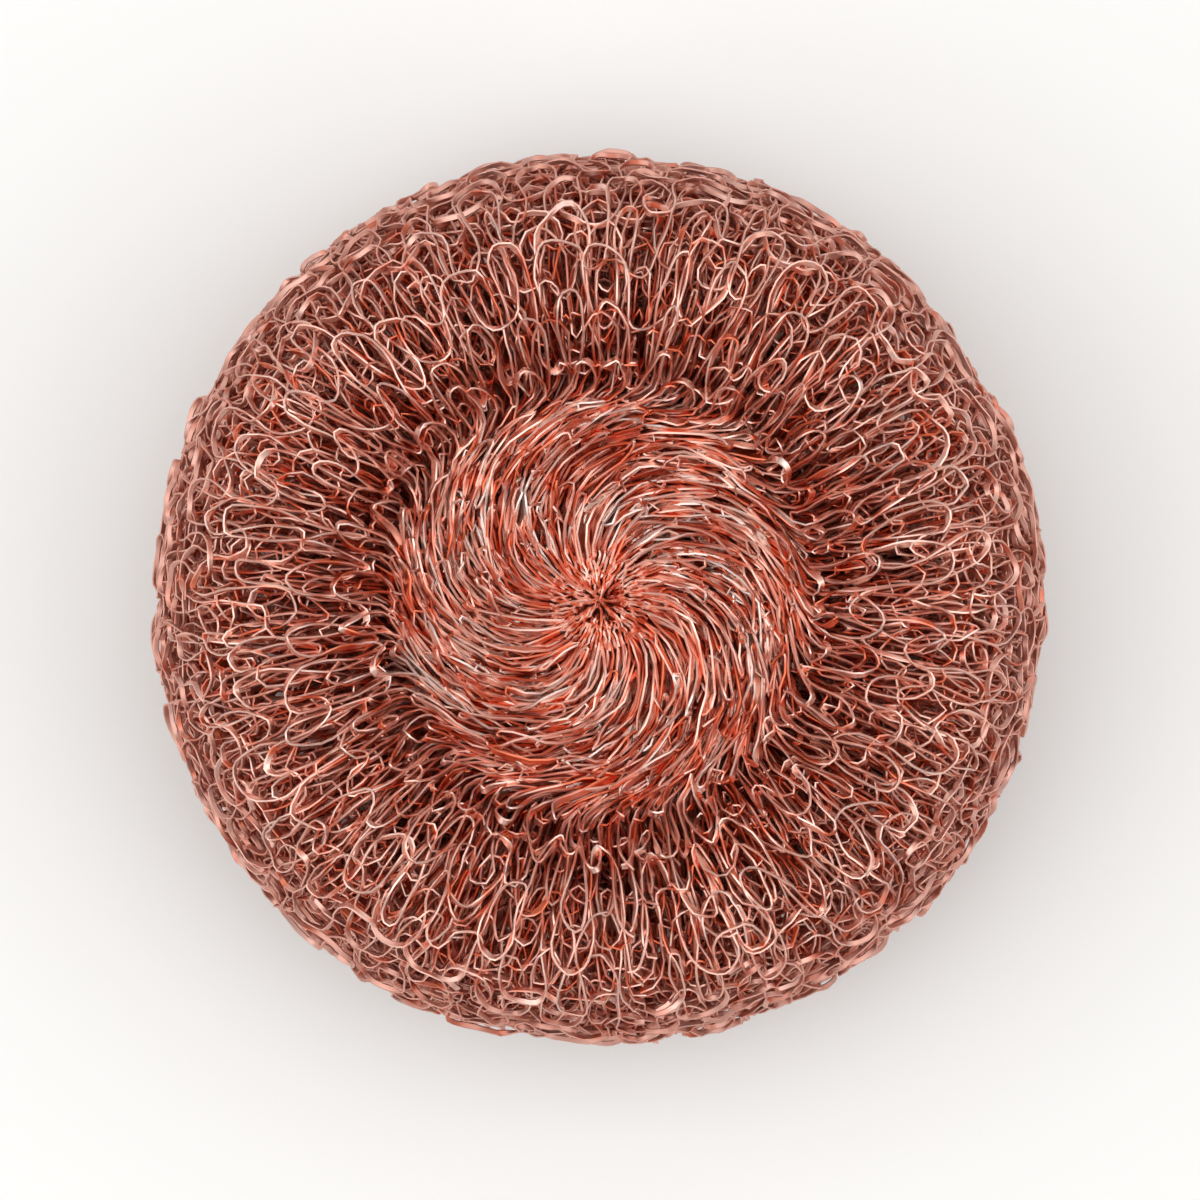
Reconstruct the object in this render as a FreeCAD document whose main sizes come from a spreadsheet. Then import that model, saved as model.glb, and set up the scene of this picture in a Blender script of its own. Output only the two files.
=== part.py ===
"""Knitted wire pot scrubber: one sleeve of copper-coated wire, twisted shut and turned back over itself.

The scrubber lies on its back, with the swirl of the twist facing up (+Z). Every ply of the sleeve is a
ring-shaped bag that narrows to one neck on the Z axis, so all plies are offsets of the same meridian.
Lengths are in millimetres and angles in degrees.
"""

import FreeCAD
import Part
import Sketcher

import math
import os
import re

# Driving dimensions: name, value and meaning
DRIVING = [
    ("pad_radius", 36.0, "outside radius of the scrubber"),
    ("pad_height", 32.0, "height of the scrubber as it lies"),
    ("shoulder_radius", 9.0, "radius of the rolled crest round the swirl"),
    ("side_angle", 30.0, "half of the angle that the rounded side spans"),
    ("front_slope", 55.0, "steepest slope of the wall round the swirl"),
    ("front_fillet", 4.0, "radius between that wall and the floor of the swirl"),
    ("front_cone", 12.0, "slope of the floor of the swirl"),
    ("back_slope", 45.0, "steepest slope of the wall round the pucker at the back"),
    ("back_fillet", 4.0, "radius between that wall and the floor of the pucker"),
    ("back_cone", 6.0, "slope of the floor of the pucker"),
    ("rest_flat", 0.5, "how deep the crest at the back is pressed flat"),
    ("ply_thickness", 1.2, "loft of one ply of the knit"),
    ("ply_gap", 0.3, "clearance between a ply and what lies against it"),
    ("neck_radius", 2.2, "radius of the hole in which a ply meets the neck"),
    ("strand_radius", 0.5, "radius of one strand of the twisted neck"),
    ("strand_count", 5, "strands of the twisted neck"),
    ("strand_turns", 0.6, "turns of a strand along the neck"),
    ("wale_count", 36, "columns of loops round the sleeve"),
    ("ridge_height", 0.4, "height of the ridge that a drawn-in wale makes in the swirl"),
    ("ridge_width", 0.9, "width of that ridge at its foot"),
    ("wale_start", 5.5, "distance from the axis to where a ridge starts"),
    ("wale_turns", 0.3, "turns that a ridge makes on its way out"),
    ("course_pitch", 6.2, "distance from one course of open loops to the next, along a wale"),
    ("front_courses", 5, "courses of open loops from the widest place to the swirl"),
    ("back_courses", 3, "courses of open loops from the widest place to the ring at the back"),
    ("loop_length", 7.0, "length of the gap in a loop, along a wale"),
    ("rib_width", 1.3, "width of the knit between two gaps of a course"),
]
SHEET = "Sizes"
DRIVING_NAMES = re.compile(r"\b(" + "|".join(name for name, _, _ in DRIVING) + r")\b")

# Places that all plies share, worked out from the driving dimensions. r is from the axis and z is up.
HALF_HEIGHT = "(pad_height + rest_flat) / 2"
CREST_RISE = f"({HALF_HEIGHT} - shoulder_radius)"
CREST_R = f"(pad_radius - shoulder_radius - {CREST_RISE} * tan(side_angle / 2))"
SIDE_RADIUS = f"(shoulder_radius + {CREST_RISE} / sin(side_angle))"
FRONT = {"crest_z": "(pad_height - shoulder_radius)", "up": 1, "name": "front"}
BACK = {"crest_z": "(shoulder_radius - rest_flat)", "up": -1, "name": "back"}

FULL_TURN = 360


def bound(expression):
    """The expression with each driving dimension read from the sheet."""
    return DRIVING_NAMES.sub(SHEET + r".\1", expression)


def number(doc, expression):
    """The expression's present value."""
    return float(doc.getObject(SHEET).evalExpression(bound(expression)))


def make_sheet(doc):
    """The sheet of driving dimensions, one row each."""
    sheet = doc.addObject("Spreadsheet::Sheet", SHEET)
    for row, (name, value, meaning) in enumerate(DRIVING, start=1):
        sheet.set(f"A{row}", meaning)
        sheet.set(f"B{row}", str(value))
        sheet.setAlias(f"B{row}", name)
    doc.recompute()


def face_corners(face, depth):
    """The corners of one face's meridian at a depth under the outside: where it meets the neck, both ends
    of the fillet round the floor, and where the crest meets the side."""
    crest_z, up, name = face["crest_z"], face["up"], face["name"]
    slope, fillet, cone = f"{name}_slope", f"{name}_fillet", f"{name}_cone"
    crest = f"(shoulder_radius - {depth})"
    fillet_r = f"({CREST_R} - (shoulder_radius + {fillet}) * sin({slope}))"
    fillet_z = f"({crest_z} + {up} * (shoulder_radius + {fillet}) * cos({slope}))"
    floor_r = f"({fillet_r} + ({fillet} + {depth}) * sin({cone}))"
    floor_z = f"({fillet_z} - {up} * ({fillet} + {depth}) * cos({cone}))"
    neck_z = f"({floor_z} - {up} * ({floor_r} - neck_radius) * tan({cone}))"
    return [
        ("neck_radius", neck_z),
        (floor_r, floor_z),
        (f"({CREST_R} - {crest} * sin({slope}))", f"({crest_z} + {up} * {crest} * cos({slope}))"),
        (f"({CREST_R} + {crest} * cos(side_angle))", f"({crest_z} + {up} * {crest} * sin(side_angle))"),
    ]


def meridian(depth):
    """The corners of a ply's meridian at a depth under the outside, from the neck at the front to the neck
    at the back, and the edge after each corner: None for a line, or an arc's radius and turning sense."""
    crest = f"(shoulder_radius - {depth})"
    corners = face_corners(FRONT, depth) + face_corners(BACK, depth)[::-1]
    edges = [
        None,
        (f"(front_fillet + {depth})", 1),
        (crest, -1),
        (f"({SIDE_RADIUS} - {depth})", -1),
        (crest, -1),
        (f"(back_fillet + {depth})", 1),
        None,
    ]
    return corners, edges


def origin_plane(body, role):
    """One of the body's own origin planes."""
    return next(plane for plane in body.Origin.OriginFeatures if plane.Role == role)


def new_body(doc, label):
    """An empty body with that label."""
    body = doc.addObject("PartDesign::Body", label)
    body.Label = label
    return body


def new_sketch(body, name, role):
    """A sketch on one of the body's origin planes."""
    sketch = body.newObject("Sketcher::SketchObject", name)
    sketch.AttachmentSupport = [(origin_plane(body, role), "")]
    sketch.MapMode = "FlatFace"
    return sketch


def arc_between(start, end, radius, sense):
    """The arc under a half circle from start to end: anticlockwise for sense 1, clockwise for -1."""
    if sense < 0:
        start, end = end, start
    middle, chord = (start + end) / 2, end - start
    rise = math.sqrt(radius**2 - chord.Length**2 / 4)
    centre = middle + FreeCAD.Vector(-chord.y, chord.x, 0).normalize() * rise
    from_centre, to_end = start - centre, end - centre
    circle = Part.Circle(centre, FreeCAD.Vector(0, 0, 1), radius)
    return Part.ArcOfCircle(
        circle, math.atan2(from_centre.y, from_centre.x), math.atan2(to_end.y, to_end.x)
    )


def draw_profile(sketch, corners, edges):
    """Draws a closed profile whose corners and arc radii are bound to the sheet."""
    doc = sketch.Document
    points = [FreeCAD.Vector(number(doc, r), number(doc, z), 0) for r, z in corners]
    constraints, names = [], []

    def bind(name, expression, constraint):
        constraints.append(constraint)
        names.append((name, bound(expression)))

    first_ends, last_ends = [], []
    for i, edge in enumerate(edges):
        start, end = points[i], points[(i + 1) % len(points)]
        if edge is None:
            sketch.addGeometry(Part.LineSegment(start, end))
        else:
            radius, sense = edge
            sketch.addGeometry(arc_between(start, end, number(doc, radius), sense))
            bind(f"radius_{i}", radius, Sketcher.Constraint("Radius", i, number(doc, radius)))
        backwards = edge is not None and edge[1] < 0
        first_ends.append(2 if backwards else 1)
        last_ends.append(1 if backwards else 2)
    for i, (r, z) in enumerate(corners):
        before = (i - 1) % len(edges)
        joined = Sketcher.Constraint("Coincident", before, last_ends[before], i, first_ends[i])
        constraints.append(joined)
        names.append(None)
        bind(f"corner_{i}_r", r, Sketcher.Constraint("DistanceX", -1, 1, i, first_ends[i], points[i].x))
        bind(f"corner_{i}_z", z, Sketcher.Constraint("DistanceY", -1, 1, i, first_ends[i], points[i].y))
    for index, named in zip(sketch.addConstraint(constraints), names):
        if named:
            sketch.renameConstraint(index, named[0])
            sketch.setExpression(f"Constraints.{named[0]}", named[1])


def draw_circle(sketch, centre, radius):
    """Draws a circle whose centre and radius are bound to the sheet."""
    doc = sketch.Document
    x, y = (number(doc, part) for part in centre)
    sketch.addGeometry(Part.Circle(FreeCAD.Vector(x, y, 0), FreeCAD.Vector(0, 0, 1), number(doc, radius)))
    bindings = [
        ("radius", radius, Sketcher.Constraint("Radius", 0, number(doc, radius))),
        ("centre_x", centre[0], Sketcher.Constraint("DistanceX", -1, 1, 0, 3, x)),
        ("centre_y", centre[1], Sketcher.Constraint("DistanceY", -1, 1, 0, 3, y)),
    ]
    for name, expression, constraint in bindings:
        sketch.renameConstraint(sketch.addConstraint(constraint), name)
        sketch.setExpression(f"Constraints.{name}", bound(expression))


def revolve(body, kind, name, corners, edges):
    """A full turn of a closed profile about the Z axis: kind is Revolution or Groove."""
    sketch = new_sketch(body, f"{name}_profile", "XZ_Plane")
    draw_profile(sketch, corners, edges)
    feature = body.newObject(f"PartDesign::{kind}", name)
    feature.Profile = sketch
    feature.ReferenceAxis = (sketch, ["V_Axis"])
    feature.Angle = FULL_TURN
    body.Document.recompute()
    return feature


def repeat_round_axis(body, feature, count, name):
    """Copies of a feature all round its own axis, with the count bound to the sheet."""
    pattern = body.newObject("PartDesign::PolarPattern", name)
    pattern.Originals = [feature]
    pattern.Axis = feature.ReferenceAxis
    pattern.Angle = FULL_TURN
    pattern.setExpression("Occurrences", bound(count))
    body.Tip = pattern
    body.Document.recompute()


def ply_depth(index):
    """How deep the outside of a ply lies, counted from the outer ply."""
    return f"({index} * (ply_thickness + ply_gap))"


def make_ply(doc, label, index):
    """One ply of the sleeve: a thin shell between two offsets of the meridian."""
    body = new_body(doc, label)
    outside, outside_edges = meridian(ply_depth(index))
    inside, inside_edges = meridian(f"({ply_depth(index)} + ply_thickness)")
    way_back = [edge and (edge[0], -edge[1]) for edge in inside_edges[::-1]]
    corners, edges = outside + inside[::-1], outside_edges + [None] + way_back + [None]
    revolve(body, "Revolution", f"{label}_turned", corners, edges)
    return body


def press_flat(body):
    """Presses the crest at the back flat, so that the scrubber lies on a ring."""
    before = body.Shape.Volume
    corners = [
        ("neck_radius", "-2 * rest_flat"),
        ("pad_radius", "-2 * rest_flat"),
        ("pad_radius", "0 * rest_flat"),
        ("neck_radius", "0 * rest_flat"),
    ]
    revolve(body, "Groove", "rest_ring", corners, [None] * len(corners))
    if body.Shape.Volume >= before:
        raise RuntimeError("the ring at the back was not pressed flat")


def draw_in_wales(body):
    """Spiral ridges, roof-shaped in section, on the floor of the swirl, where the twist draws the columns of
    loops together. A ridge goes as deep into the ply as it stands proud of it."""
    neck, floor = face_corners(FRONT, "0")[:2]
    sketch = new_sketch(body, "wale_section", "XZ_Plane")
    start_z = f"{neck[1]} + (wale_start - neck_radius) * tan(front_cone)"
    section = [
        ("wale_start - ridge_width / 2", start_z),
        ("wale_start", f"{start_z} - ridge_height"),
        ("wale_start + ridge_width / 2", start_z),
        ("wale_start", f"{start_z} + ridge_height"),
    ]
    draw_profile(sketch, section, [None] * len(section))
    run = f"({floor[0]} - wale_start)"
    ridge = body.newObject("PartDesign::AdditiveHelix", "wale")
    ridge.Profile = sketch
    ridge.ReferenceAxis = (sketch, ["V_Axis"])
    ridge.Mode = "height-turns-growth"
    ridge.LeftHanded = True
    ridge.setExpression("Height", bound(f"{run} * tan(front_cone)"))
    ridge.setExpression("Turns", bound("wale_turns"))
    ridge.setExpression("Growth", bound(f"{run} / wale_turns"))
    body.Document.recompute()
    repeat_round_axis(body, ridge, "wale_count", "wales")


def course_middle(doc, course):
    """The arc of the outer meridian that holds the middle of a course, as its centre and radius, and the
    polar angle of that middle. Course 0 is the first one in front of the widest place, and -1 the first one
    behind it."""
    face, steps = (FRONT, course) if course >= 0 else (BACK, -1 - course)
    run = (steps + 0.5) * number(doc, "course_pitch")
    side_radius, side_angle = number(doc, SIDE_RADIUS), math.radians(number(doc, "side_angle"))
    side_run = side_radius * side_angle
    if run < side_run:
        centre_r, centre_z = f"pad_radius - {SIDE_RADIUS}", f"{HALF_HEIGHT} - rest_flat"
        radius, angle = side_radius, run / side_radius
    else:
        centre_r, centre_z = CREST_R, face["crest_z"]
        radius = number(doc, "shoulder_radius")
        angle = side_angle + (run - side_run) / radius
    centre = FreeCAD.Vector(number(doc, centre_r), 0, number(doc, centre_z))
    return centre, radius, face["up"] * angle


def loop_gap(doc, ply, course):
    """The gap in one loop of a course: an almond-shaped prism that goes square through the ply."""
    centre, outer_radius, angle = course_middle(doc, course)
    thickness, clearance = number(doc, "ply_thickness"), number(doc, "ply_gap")
    radius = outer_radius - number(doc, ply_depth(ply))
    out = FreeCAD.Vector(math.cos(angle), 0, math.sin(angle))
    half_length = number(doc, "loop_length") / 2 * radius / outer_radius
    wale_width = 2 * math.pi * (centre + out * radius).x / number(doc, "wale_count")
    half_width = (wale_width - number(doc, "rib_width")) / 2
    tips = [FreeCAD.Vector(0, side * half_length, 0) for side in (-1, 1)]
    right_bow = Part.Arc(tips[0], FreeCAD.Vector(half_width, 0, 0), tips[1])
    left_bow = Part.Arc(tips[1], FreeCAD.Vector(-half_width, 0, 0), tips[0])
    outline = Part.Wire([right_bow.toShape(), left_bow.toShape()])
    top = radius + clearance
    bottom = math.sqrt((radius - thickness) ** 2 - half_length**2) - clearance / 2
    gap = Part.Face(outline).extrude(FreeCAD.Vector(0, 0, bottom - top))
    square_to_ply = FreeCAD.Rotation(90, 0, 90 - math.degrees(angle))
    gap.Placement = FreeCAD.Placement(centre + out * top, square_to_ply)
    return gap


def open_knit(shell, ply, label):
    """Opens the loops of a ply: courses of gaps from the swirl to the ring at the back, with one gap between
    every two wales. Every other course, and every other ply, is shifted by half a wale."""
    doc = shell.Document
    counts = ("wale_count", "front_courses", "back_courses")
    wales, front_courses, back_courses = (round(number(doc, name)) for name in counts)
    gaps = []
    for course in range(-back_courses, front_courses):
        gap, shift = loop_gap(doc, ply, course), (course + ply) % 2 / 2
        for wale in range(wales):
            turn = (wale + shift) * FULL_TURN / wales
            gaps.append(gap.rotated(FreeCAD.Vector(), FreeCAD.Vector(0, 0, 1), turn))
    loops = doc.addObject("Part::Feature", f"{label}_loops")
    loops.Shape = Part.makeCompound(gaps)
    opened = doc.addObject("Part::Cut", label)
    opened.Label = label
    opened.Base, opened.Tool = shell, loops
    doc.recompute()
    if opened.Shape.Volume >= shell.Shape.Volume:
        raise RuntimeError(f"the loops of {label} were not opened")
    return opened


def make_outer_ply(doc):
    """The ply that shows: swirl, crest, side and the ring that it rests on."""
    shell = make_ply(doc, "outer_ply_shell", 0)
    press_flat(shell)
    draw_in_wales(shell)
    return open_knit(shell, 0, "outer_ply")


def make_second_ply(doc):
    """The ply that shows through the gaps of the outer one."""
    return open_knit(make_ply(doc, "second_ply_shell", 1), 1, "second_ply")


def make_tucked_end(doc, plies):
    """The loose end of the sleeve, bunched inside the innermost ply as a ring round the neck."""
    body = new_body(doc, "tucked_end")
    corners, edges = meridian(ply_depth(plies))
    revolve(body, "Revolution", "bunch", corners, edges + [None])
    return body


def make_twisted_neck(doc):
    """The neck: strands of gathered knit twisted about a core, from the swirl to the pucker at the back."""
    body = new_body(doc, "twisted_neck")
    top, bottom = face_corners(FRONT, "0")[0][1], face_corners(BACK, "0")[0][1]
    lay_radius = "(neck_radius - ply_gap - strand_radius)"
    length = f"({top} - {bottom})"
    core_section = new_sketch(body, "core_section", "XY_Plane")
    draw_circle(core_section, ("0 * neck_radius", "0 * neck_radius"), lay_radius)
    core_section.setExpression("AttachmentOffset.Base.z", bound(bottom))
    core = body.newObject("PartDesign::Pad", "core")
    core.Profile = core_section
    core.setExpression("Length", bound(length))
    strand_section = new_sketch(body, "strand_section", "XY_Plane")
    draw_circle(strand_section, (lay_radius, "0 * neck_radius"), "strand_radius")
    strand_section.setExpression("AttachmentOffset.Base.z", bound(f"{bottom} + ply_gap"))
    doc.recompute()
    strand = body.newObject("PartDesign::AdditiveHelix", "strand")
    strand.Profile = strand_section
    strand.ReferenceAxis = (strand_section, ["N_Axis"])
    strand.Mode = "height-turns-angle"
    strand.LeftHanded = True
    strand.setExpression("Height", bound(f"{length} - 2 * ply_gap"))
    strand.setExpression("Turns", bound("strand_turns"))
    doc.recompute()
    repeat_round_axis(body, strand, "strand_count", "strands")
    return body


def check(doc, bodies):
    """Stops the build if a feature failed or a sub-part isn't one valid solid."""
    failed = [part.Name for part in doc.Objects if {"Invalid", "Error"} & set(part.State)]
    if failed:
        raise RuntimeError(f"these features failed: {failed}")
    for body in bodies:
        if body.Shape.isNull() or not body.Shape.isValid() or len(body.Shape.Solids) != 1:
            raise RuntimeError(f"{body.Label} is not one valid solid")


def main():
    doc = FreeCAD.newDocument("PotScrubber")
    make_sheet(doc)
    plies = [
        make_outer_ply(doc),
        make_second_ply(doc),
        make_ply(doc, "third_ply", 2),
    ]
    bodies = plies + [make_tucked_end(doc, len(plies)), make_twisted_neck(doc)]
    doc.recompute()
    check(doc, bodies)
    os.makedirs("parts", exist_ok=True)
    for body in bodies:
        body.Shape.exportStep(f"parts/{body.Label}.step")


main()
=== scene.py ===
"""Knitted wire pot scrubber: loops of flattened copper-coated wire, knitted along the plies of the frame.

The sleeve lies as plies that share one meridian. A wale, which is a column of loops, runs along that
meridian from the neck in the front to the neck in the back, and the twist bends it into a spiral in the
swirl. Every course of loops is one turn of wire that weaves along the wales.
"""

import math

import bpy
from bpy.props import FloatProperty, FloatVectorProperty, IntProperty, PointerProperty
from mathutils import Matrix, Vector


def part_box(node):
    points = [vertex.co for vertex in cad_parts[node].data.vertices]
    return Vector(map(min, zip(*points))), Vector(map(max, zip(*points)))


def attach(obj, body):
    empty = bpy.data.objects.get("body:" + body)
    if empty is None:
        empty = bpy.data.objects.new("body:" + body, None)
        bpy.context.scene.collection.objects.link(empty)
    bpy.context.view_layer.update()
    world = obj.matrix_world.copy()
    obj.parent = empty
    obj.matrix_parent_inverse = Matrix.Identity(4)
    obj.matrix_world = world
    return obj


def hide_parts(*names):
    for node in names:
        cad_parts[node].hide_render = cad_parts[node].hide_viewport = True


bl_info = {
    "name": "Knitted wire scrubber",
    "version": (1, 0, 0),
    "blender": (4, 5, 0),
    "location": "3D View > Sidebar > Scrubber",
    "description": "Knits the plies of a wire scrubber loop by loop and sets it on a pale floor",
    "category": "Object",
}

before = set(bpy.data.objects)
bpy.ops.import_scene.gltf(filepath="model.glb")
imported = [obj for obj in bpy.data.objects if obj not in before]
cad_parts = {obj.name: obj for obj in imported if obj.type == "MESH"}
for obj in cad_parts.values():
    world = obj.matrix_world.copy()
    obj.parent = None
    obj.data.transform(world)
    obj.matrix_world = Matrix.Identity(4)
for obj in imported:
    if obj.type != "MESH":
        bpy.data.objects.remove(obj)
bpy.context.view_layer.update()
PAD_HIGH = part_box("outer_ply")[1]
BODY = "root"
KNIT_TREE = "Knit a ply"
WIRE_FINISH = "copper_coated_wire"
MM = 0.001
TURN = 2 * math.pi
PLIES = ("outer_ply", "second_ply", "third_ply")
PATH_STEP = 0.4 * MM
NECK_TURN_STEPS = 8

# Takes the height off a place, the middle of a noise's range, and the sockets of a node that mixes colours
FLAT = (1.0, 1.0, 0.0)
EVEN = (0.5, 0.5, 0.5)
MIX_FIRST = 6
MIX_SECOND = 7
MIX_RESULT = 2

# Kinds of node that come often
MATH = "ShaderNodeMath"
VECTOR_MATH = "ShaderNodeVectorMath"
NOISE = "ShaderNodeTexNoise"
MAP_RANGE = "ShaderNodeMapRange"
STORE = "GeometryNodeStoreNamedAttribute"
NAMED = "GeometryNodeInputNamedAttribute"

# Corners of the wire's section, how far its flats spread, the share of a strip of the map that it fills, how
# softly the surface below presses it up, and its crimps outside the swirl and where the neck pulls it
WIRE_SIDES = 6
FLAT_SPREAD = 0.8
STRIP_FILL = 0.8
PRESS_ROUND = 0.4 * MM
LOOSE_CRIMP = 0.4
PULLED_CRIMP = 0.2

# Lengths of the wire's patterns and of the wire in one loop, in millimetres
LOOP_WIRE = 21.0
CRIMP_LENGTH = 2.5
TILT_LENGTH = 1.75
PATCH_LENGTH = 2.7632
WORN_AND_GLINT_LENGTH = 4.2
ROLLED_LENGTH = 3.0
DIE_LINE_LENGTH = 7.0

# Ranges of the noise in which a patch or a mark fades in
DEEP_PATCHES = (0.53, 0.67)
WORN_AND_GLINT_PATCHES = (0.53, 0.63)
ROLLER_MARKS = (0.3, 0.7)

# Distances from the axis between which the knit or its coat changes
NECK_FUNNEL = (2.5 * MM, 0.7 * MM)
NECK_PULL = (2.0 * MM, 6.0 * MM)
CENTRE_COAT = (3.0 * MM, 6.0 * MM)
SWIRL_EDGE = (14.0 * MM, 18.0 * MM)
SWIRL_WEAR_AND_GLINT = (14.0 * MM, 20.0 * MM)
SWIRL_COAT = (14.0 * MM, 27.0 * MM)
SIDE_CALM = (28.0 * MM, 34.0 * MM)
SIDE_WIRE = (29.0 * MM, 33.0 * MM)
SIDE_COAT = (30.0 * MM, 34.0 * MM)

# Each lamp's place and width in metres
LAMPS = {
    "front": ((0.0, 0.05, 1.1), 0.8),
    "top": ((0.0, 0.3, 0.6), 0.7),
    "left": ((-0.45, -0.05, 0.42), 0.6),
    "right": ((0.45, -0.05, 0.42), 0.6),
}

# Places in the noise, so that no course, ply or pattern is like the next one
WANDERS_PER_LOOP = 1.15
STRAND_LOOPS = 5.0
COURSE_STEP = 5.7
SEED_STEP = 17.3
WALE_STEP = 0.37
DIE_LINE_STEP = 1.2
CLUMP_SCALE = (0.45, 0.3, 1.0)
TILT_SHIFT = (31.0, 47.0, 11.0)
WORN_AND_GLINT_SHIFT = (13.0, 29.0, 7.0)
PLY_SEED = 1.0
END_SEED = 5.0
NECK_SEED = 9.0


def mm(name, description, default):
    """A length in metres whose default is given in millimetres."""
    return FloatProperty(name=name, description=description, default=default * MM, unit="LENGTH")


def ratio(name, description, default):
    """A share or another plain number."""
    return FloatProperty(name=name, description=description, default=default)


def count(name, description, default):
    """A whole number."""
    return IntProperty(name=name, description=description, default=default)


def watts(name, description, default):
    """The power of a lamp."""
    return FloatProperty(name=name, description=description, default=default, unit="POWER")


def per_loop(length):
    """How often a pattern of a length in millimetres comes along the wire of one loop."""
    return LOOP_WIRE / length


def degrees(name, description, default):
    """An angle whose default is given in degrees."""
    return FloatProperty(name=name, description=description, default=math.radians(default), subtype="ANGLE")


def linear(hex_colour):
    """The linear colour, with alpha, of an sRGB hex value."""
    parts = [int(hex_colour[i:i + 2], 16) / 255 for i in (1, 3, 5)]
    return [c / 12.92 if c <= 0.04045 else ((c + 0.055) / 1.055) ** 2.4 for c in parts] + [1.0]


def colour(name, description, hex_colour):
    """A colour whose default is given as an sRGB hex value."""
    return FloatVectorProperty(
        name=name, description=description, subtype="COLOR", size=4, min=0, max=1, default=linear(hex_colour)
    )


class SleeveSettings(bpy.types.PropertyGroup):
    """The form of the sleeve, as the solids have it."""

    pad_radius: mm("Pad radius", "Outside radius of the scrubber", PAD_HIGH.x / MM)
    pad_height: mm("Pad height", "Height of the scrubber as it lies", PAD_HIGH.z / MM)
    shoulder_radius: mm("Shoulder radius", "Radius of the rolled crest round the swirl", 9.0)
    side_angle: degrees("Side angle", "Half of the angle that the rounded side spans", 30)
    front_slope: degrees("Front slope", "Steepest slope of the wall round the swirl", 55)
    front_fillet: mm("Front fillet", "Radius between that wall and the floor of the swirl", 4.0)
    front_cone: degrees("Front cone", "Slope of the floor of the swirl", 12)
    back_slope: degrees("Back slope", "Steepest slope of the wall round the pucker at the back", 45)
    back_fillet: mm("Back fillet", "Radius between that wall and the floor of the pucker", 4.0)
    back_cone: degrees("Back cone", "Slope of the floor of the pucker", 6)
    rest_flat: mm("Rest flat", "How deep the crest at the back is pressed flat", 0.5)
    ply_pitch: mm("Ply pitch", "Depth from one ply to the next", 1.5)
    ply_loft: mm("Ply loft", "Thickness of one ply of the knit", 1.2)
    nest: ratio("Nest", "Share of the pitch that open plies sink together", 0.6)
    neck_radius: mm("Neck radius", "Radius at which the plies turn into the neck", 0.6)
    neck_turn: mm("Neck turn", "Radius of that turn", 1.2)
    twist_radius: mm("Twist radius", "Distance from the axis at which wales lie at 45 degrees", 9.6)
    swirl_radius: mm("Swirl radius", "Distance from the axis at which the twist starts to die out", 15.7)
    twist_fade: mm("Twist fade", "Width of the ring in which the twist dies out", 2.4)
    back_twist: ratio("Back twist", "Twist of the pucker, as a share", 0.35)


class KnitSettings(bpy.types.PropertyGroup):
    """The loops of the knit and the wire that they are made of."""

    wales: count("Wales", "Columns of loops round the sleeve", 36)
    course_pitch: mm("Course pitch", "Mean length of a wale from one course to the next", 4.5)
    loop_points: count("Loop points", "Points along the wire of one loop", 30)
    inner_points: count("Inner points", "The same in the plies that lie below", 16)
    inner_wales: count("Inner wales", "Wales of the plies that lie below", 42)
    inner_pitch: mm("Inner pitch", "Course pitch of the plies that lie below", 3.7)
    reach: ratio("Reach", "How far a loop reaches, in courses", 1.25)
    bulge: ratio("Bulge", "How far a loop swells past its wale", 0.85)
    uneven_bulge: ratio("Uneven bulge", "How much that differs from loop to loop", 2.4)
    stretch: ratio("Stretch", "Longer loops at the necks than at the side", 0.5)
    relief: mm("Relief", "How far heads and feet stand above the legs of a loop", 0.3)
    lap: mm("Lap", "How far a head lies over the feet of the next course", 0.35)
    wander_along: ratio("Wander along", "Uneven reach, in courses", 1.6)
    wander_across: ratio("Wander across", "Uneven place, in wales", 1.7)
    wander_up: mm("Wander up", "Uneven height of the loops", 1.6)
    kink: mm("Kink", "Crimps along the wire", 2.3)
    clump: mm("Clump", "Ridges that neighbouring wales form", 1.3)
    lumps: mm("Lumps", "How far the whole sleeve bulges in and out", 2.0)
    lump_size: mm("Lump size", "Distance from one such bulge to the next", 20.0)
    wire_tilt: FloatProperty(
        name="Wire tilt", description="Turn of the flat wire", default=2.8, subtype="ANGLE"
    )
    swirl_tilt: FloatProperty(
        name="Swirl tilt", description="The same in the swirl", default=2.4, subtype="ANGLE"
    )
    wire_width: mm("Wire width", "Width of the flattened wire", 0.62)
    swirl_width: ratio("Swirl width", "Wire width in the swirl, as a share", 1.15)
    rim_calm: ratio("Rim calm", "Uneven height at the side, as a share", 0.5)
    rim_width: ratio("Rim width", "Wire width at the side, as a share", 0.8)
    # Painted shade: the plies below are given deeper copper, since they lie in each other's shade
    coat_depth: ratio("Coat depth", "How much deeper the coat is than outside", 0)
    inner_painted_shade: ratio("Inner painted shade", "The same in the plies that lie below", 0.14)
    wire_thickness: mm("Wire thickness", "Thickness of the flattened wire", 0.22)


class EndSettings(bpy.types.PropertyGroup):
    """The cut end of the sleeve, bunched inside the plies."""

    layers: count("Layers", "Layers of the bunched knit", 3)
    wales: count("Wales", "Columns of loops round each layer", 40)
    course_pitch: mm("Course pitch", "Mean length of a wale from one course to the next", 3.0)
    loop_points: count("Loop points", "Points along the wire of one loop", 10)


class NeckSettings(bpy.types.PropertyGroup):
    """The wires that are gathered in the neck."""

    strands: count("Strands", "Wires in the twisted neck", 64)
    flare: mm("Flare", "Distance from the axis to which the wires spread over each floor", 4.2)
    core_radius: mm("Core radius", "Radius of the bunch of wires in the neck", 1.7)
    core_inset: mm("Core inset", "How far the innermost wires move towards the axis", 0.6)
    kink_share: ratio("Kink share", "Crimps along these wires, as a share of the knit's", 0.25)
    sink: mm("Sink", "How far the spread ends dive under the plies", 1.0)
    rope_turns: ratio("Rope turns", "Turns of the wires along the neck", 0.6)


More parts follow.
